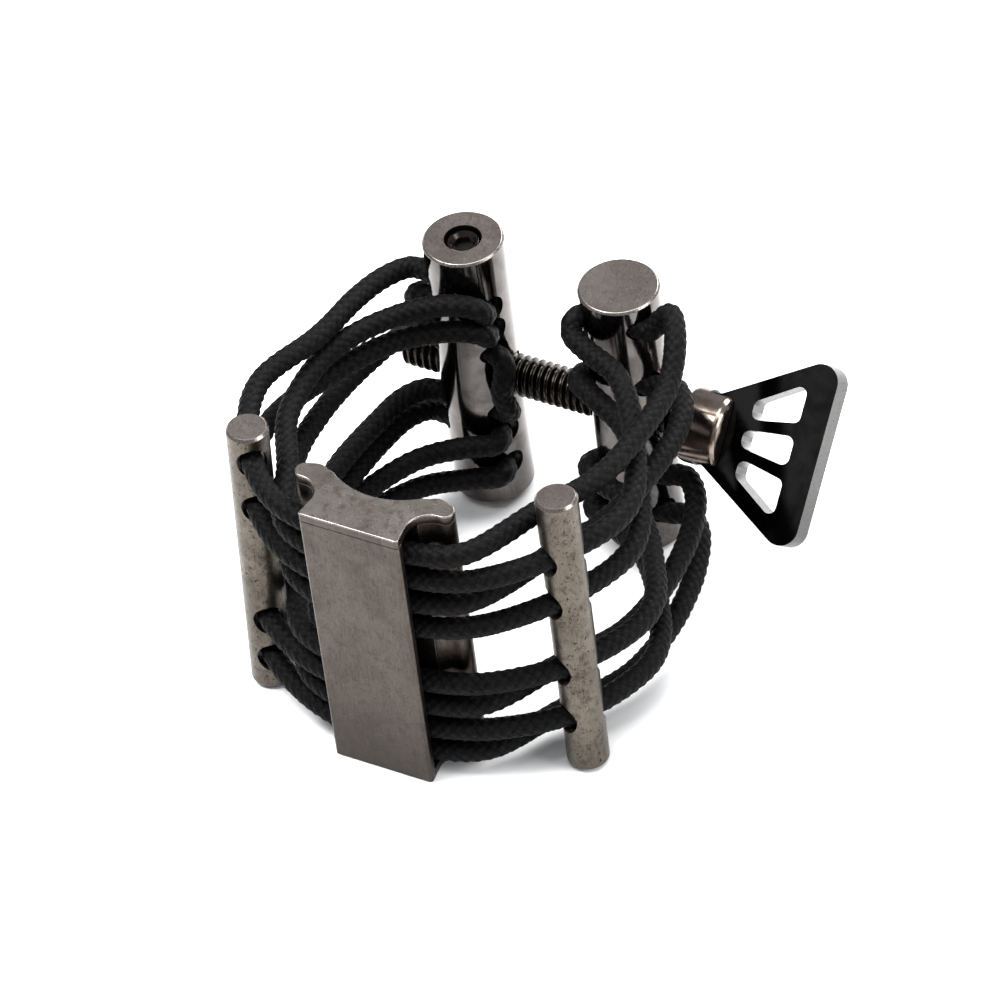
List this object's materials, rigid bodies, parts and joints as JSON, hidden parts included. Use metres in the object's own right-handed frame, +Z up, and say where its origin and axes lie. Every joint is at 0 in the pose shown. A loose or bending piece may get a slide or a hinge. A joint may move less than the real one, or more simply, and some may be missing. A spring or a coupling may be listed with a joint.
{
  "type": "saxophone ligature",
  "caption": "String ligature: a braided cord laced between two round posts, drawn tight by a thumb screw, with a cradle saddle and tuner bars.",
  "frame": {"origin": "centre of the whole object's box, on the plane that its posts, bars and saddle stand on", "axes": "+X along the clamp screw towards the thumb wing, +Y from the saddle towards the posts, +Z up along the mouthpiece's axis"},
  "size_m": [0.0484, 0.0464, 0.0326],
  "materials": {
    "post_metal": "polished gun-metal plating on brass, satin end faces",
    "screw_metal": "dark machined thread",
    "boss_metal": "polished warm nickel",
    "wing_metal": "glossy black nickel with satin edges",
    "satin_metal": "satin tumbled gun-metal",
    "cord": "black diamond braid"
  },
  "bodies": {
    "root": {"saddle": "satin_metal", "lacing_cord": "cord"},
    "nut_post": {"nut_post": "post_metal", "cord_lock_screw_top": "screw_metal", "cord_lock_screw_bottom": "screw_metal"},
    "screw_post": {"screw_post": "post_metal"},
    "thumb_screw": {"clamp_screw": "screw_metal", "thumb_boss": "boss_metal", "thumb_wing": "wing_metal"},
    "left_tuner": {"left_tuner_bar": "satin_metal"},
    "right_tuner": {"right_tuner_bar": "satin_metal"}
  },
  "joints": [
    {"name": "screw_spin", "type": "hinge", "parent": "screw_post", "child": "thumb_screw", "pos_m": [0.00383, 0.01586, 0.0158], "axis": [1, 0, 0], "range_deg": [-1830, 1470], "deforming": ["lacing_cord"]},
    {"name": "nut_post_slide", "type": "slide", "parent": "root", "child": "nut_post", "axis": [1, 0, 0], "range_m": [-0.0016, 0.002], "deforming": ["lacing_cord"]},
    {"name": "screw_post_slide", "type": "slide", "parent": "root", "child": "screw_post", "axis": [1, 0, 0], "range_m": [-0.0021, 0.0017], "deforming": ["lacing_cord"]},
    {"name": "left_tuner_slide", "type": "hinge", "parent": "root", "child": "left_tuner", "pos_m": [-0.00451, -0.00364, 0], "axis": [0, 0, 1], "range_deg": [-5, 5], "deforming": ["lacing_cord"]},
    {"name": "right_tuner_slide", "type": "hinge", "parent": "root", "child": "right_tuner", "pos_m": [-0.00451, -0.00364, 0], "axis": [0, 0, 1], "range_deg": [-5, 5], "deforming": ["lacing_cord"]}
  ],
  "couplings": [
    {"joint": "screw_spin", "follows": "nut_post_slide", "rad_per_m": -15832},
    {"joint": "screw_post_slide", "follows": "nut_post_slide", "ratio": -1}
  ]
}
